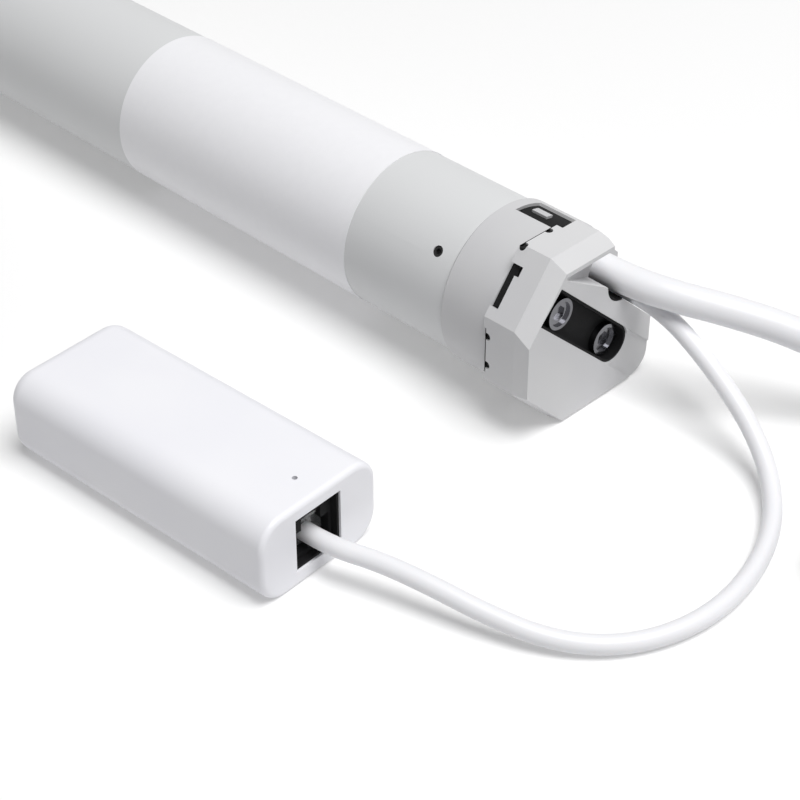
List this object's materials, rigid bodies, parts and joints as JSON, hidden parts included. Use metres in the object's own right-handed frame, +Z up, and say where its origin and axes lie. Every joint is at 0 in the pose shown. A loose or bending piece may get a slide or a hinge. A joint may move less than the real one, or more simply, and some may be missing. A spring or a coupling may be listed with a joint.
{
  "type": "smart blind controller",
  "caption": "Tubular blind motor with turning crown, octagonal cable head and limit screws, its mains lead, and a small white control box joined to it by a data cable.",
  "frame": {"origin": "on the surface, under the middle of the box that holds motor and control box without the cables", "axes": "+X along the motor towards its cable head, +Y away from the control box, +Z up"},
  "size_m": [0.657, 0.209, 0.05],
  "materials": {
    "tube_steel": "satin pale grey",
    "head_plastic": "fine matt moulded",
    "crown_plastic": "fine matt moulded",
    "key_plastic": "matt",
    "black_plastic": "matt",
    "screw_steel": "bright",
    "black_steel": "blackened",
    "label_paper": "smooth bare label",
    "rubber": "matt",
    "board": "solder resist",
    "part_plastic": "matt",
    "capacitor_can": "drawn",
    "foam": "foam",
    "cast_alloy": "cast",
    "bearing_steel": "ground",
    "core_steel": "laminated",
    "winding_copper": "enamelled",
    "gear_steel": "sintered",
    "gear_plastic": "natural",
    "shaft_steel": "turned",
    "bush_bronze": "sintered",
    "wheel_plastic": "matt",
    "box_plastic": "fine matt white",
    "shield_can": "tinned",
    "contact_gold": "gold plated",
    "clear_plastic": "clear polished",
    "cable_jacket": "smooth soft jacket",
    "core_jacket": "core insulation",
    "tie_strap": "woven hook strap"
  },
  "bodies": {
    "motor_and_box": {"motor_tube": "tube_steel", "head_body": "head_plastic", "head_cover": "head_plastic", "slot_liner": "black_plastic", "limit_housing": "black_plastic", "cable_grommet": "rubber", "inner_leads": "core_jacket", "tube_screws": "black_steel", "type_label": "label_paper", "control_board": "board", "board_parts": "part_plastic", "capacitor": "capacitor_can", "capacitor_cradles": "foam", "rear_bell": "cast_alloy", "front_bell": "cast_alloy", "bearings": "bearing_steel", "stator_core": "core_steel", "stator_windings": "winding_copper", "brake_coil": "winding_copper", "ring_gear": "gear_steel", "drive_end_cap": "black_plastic", "output_bush": "bush_bronze", "box_shell": "box_plastic", "box_base": "box_plastic", "base_screws": "screw_steel", "main_board": "board", "radio_module": "shield_can", "modular_jack": "black_plastic", "jack_contacts": "contact_gold", "key_board": "board", "data_plug_body": "clear_plastic", "data_plug_contacts": "contact_gold", "data_cable": "cable_jacket", "mains_cable": "cable_jacket", "mains_coil": "cable_jacket", "mains_tail": "cable_jacket", "coil_tie": "tie_strap", "core_ends": "core_jacket"},
    "rotor": {"rotor_core": "core_steel", "rotor_shaft": "shaft_steel", "brake_disc": "core_steel", "sun_gear_1": "gear_steel"},
    "first_carrier": {"carrier_1": "gear_steel", "sun_gear_2": "gear_steel"},
    "output": {"output_carrier": "shaft_steel", "drive_wheel": "wheel_plastic", "wheel_clip": "shaft_steel"},
    "crown": {"crown_ring": "crown_plastic", "crown_drive_key": "key_plastic"},
    "counter": {"counter_pinion": "gear_plastic"},
    "screw_up": {"limit_screw_up": "screw_steel"},
    "screw_down": {"limit_screw_down": "screw_steel"},
    "reset_key": {"reset_button": "part_plastic"},
    "plug_latch": {"data_plug_latch": "clear_plastic"},
    "planet_1a_gear": {"planet_1a": "gear_plastic"},
    "planet_1b_gear": {"planet_1b": "gear_plastic"},
    "planet_1c_gear": {"planet_1c": "gear_plastic"},
    "planet_2a_gear": {"planet_2a": "gear_plastic"},
    "planet_2b_gear": {"planet_2b": "gear_plastic"},
    "planet_2c_gear": {"planet_2c": "gear_plastic"}
  },
  "joints": [
    {"name": "rotor_spin", "type": "hinge", "parent": "motor_and_box", "child": "rotor", "pos_m": [-0.071, 0.04675, 0.025], "axis": [1, 0, 0], "continuous": true},
    {"name": "first_carrier_spin", "type": "hinge", "parent": "motor_and_box", "child": "first_carrier", "pos_m": [-0.1332, 0.04675, 0.025], "axis": [1, 0, 0], "continuous": true},
    {"name": "output_spin", "type": "hinge", "parent": "motor_and_box", "child": "output", "pos_m": [-0.1524, 0.04675, 0.025], "axis": [1, 0, 0], "continuous": true},
    {"name": "crown_spin", "type": "hinge", "parent": "motor_and_box", "child": "crown", "pos_m": [0.2016, 0.04675, 0.025], "axis": [1, 0, 0], "continuous": true},
    {"name": "counter_spin", "type": "hinge", "parent": "motor_and_box", "child": "counter", "pos_m": [0.2025, 0.03543, 0.01369], "axis": [1, 0, 0], "continuous": true},
    {"name": "planet_1a_spin", "type": "hinge", "parent": "first_carrier", "child": "planet_1a_gear", "pos_m": [-0.1286, 0.05792, 0.025], "axis": [1, 0, 0], "continuous": true},
    {"name": "planet_1b_spin", "type": "hinge", "parent": "first_carrier", "child": "planet_1b_gear", "pos_m": [-0.1286, 0.04116, 0.03468], "axis": [1, 0, 0], "continuous": true},
    {"name": "planet_1c_spin", "type": "hinge", "parent": "first_carrier", "child": "planet_1c_gear", "pos_m": [-0.1286, 0.04116, 0.01532], "axis": [1, 0, 0], "continuous": true},
    {"name": "planet_2a_spin", "type": "hinge", "parent": "output", "child": "planet_2a_gear", "pos_m": [-0.1478, 0.05792, 0.025], "axis": [1, 0, 0], "continuous": true},
    {"name": "planet_2b_spin", "type": "hinge", "parent": "output", "child": "planet_2b_gear", "pos_m": [-0.1478, 0.04116, 0.03468], "axis": [1, 0, 0], "continuous": true},
    {"name": "planet_2c_spin", "type": "hinge", "parent": "output", "child": "planet_2c_gear", "pos_m": [-0.1478, 0.04116, 0.01532], "axis": [1, 0, 0], "continuous": true},
    {"name": "limit_up_turn", "type": "hinge", "parent": "motor_and_box", "child": "screw_up", "pos_m": [0.225, 0.03705, 0.033], "axis": [1, 0, 0], "continuous": true},
    {"name": "limit_down_turn", "type": "hinge", "parent": "motor_and_box", "child": "screw_down", "pos_m": [0.225, 0.05549, 0.01597], "axis": [1, 0, 0], "continuous": true},
    {"name": "reset_press", "type": "slide", "parent": "motor_and_box", "child": "reset_key", "axis": [0, 0, -1], "range_m": [0, 0.0003], "stiffness_N_per_m": 400, "springref_m": -0.0003},
    {"name": "latch_press", "type": "hinge", "parent": "motor_and_box", "child": "plug_latch", "pos_m": [0.20546, -0.04864, 0.0138], "axis": [-0.0581, 0.9983, 0], "range_deg": [0, 5], "stiffness_Nm_per_rad": 0.02, "springref_deg": -2.86}
  ],
  "couplings": [
    {"joint": "first_carrier_spin", "follows": "rotor_spin", "ratio": 0.16667},
    {"joint": "output_spin", "follows": "rotor_spin", "ratio": 0.027778},
    {"joint": "counter_spin", "follows": "crown_spin", "ratio": 5},
    {"joint": "planet_1a_spin", "follows": "rotor_spin", "ratio": -0.41667},
    {"joint": "planet_1b_spin", "follows": "rotor_spin", "ratio": -0.41667},
    {"joint": "planet_1c_spin", "follows": "rotor_spin", "ratio": -0.41667},
    {"joint": "planet_2a_spin", "follows": "rotor_spin", "ratio": -0.069444},
    {"joint": "planet_2b_spin", "follows": "rotor_spin", "ratio": -0.069444},
    {"joint": "planet_2c_spin", "follows": "rotor_spin", "ratio": -0.069444}
  ]
}
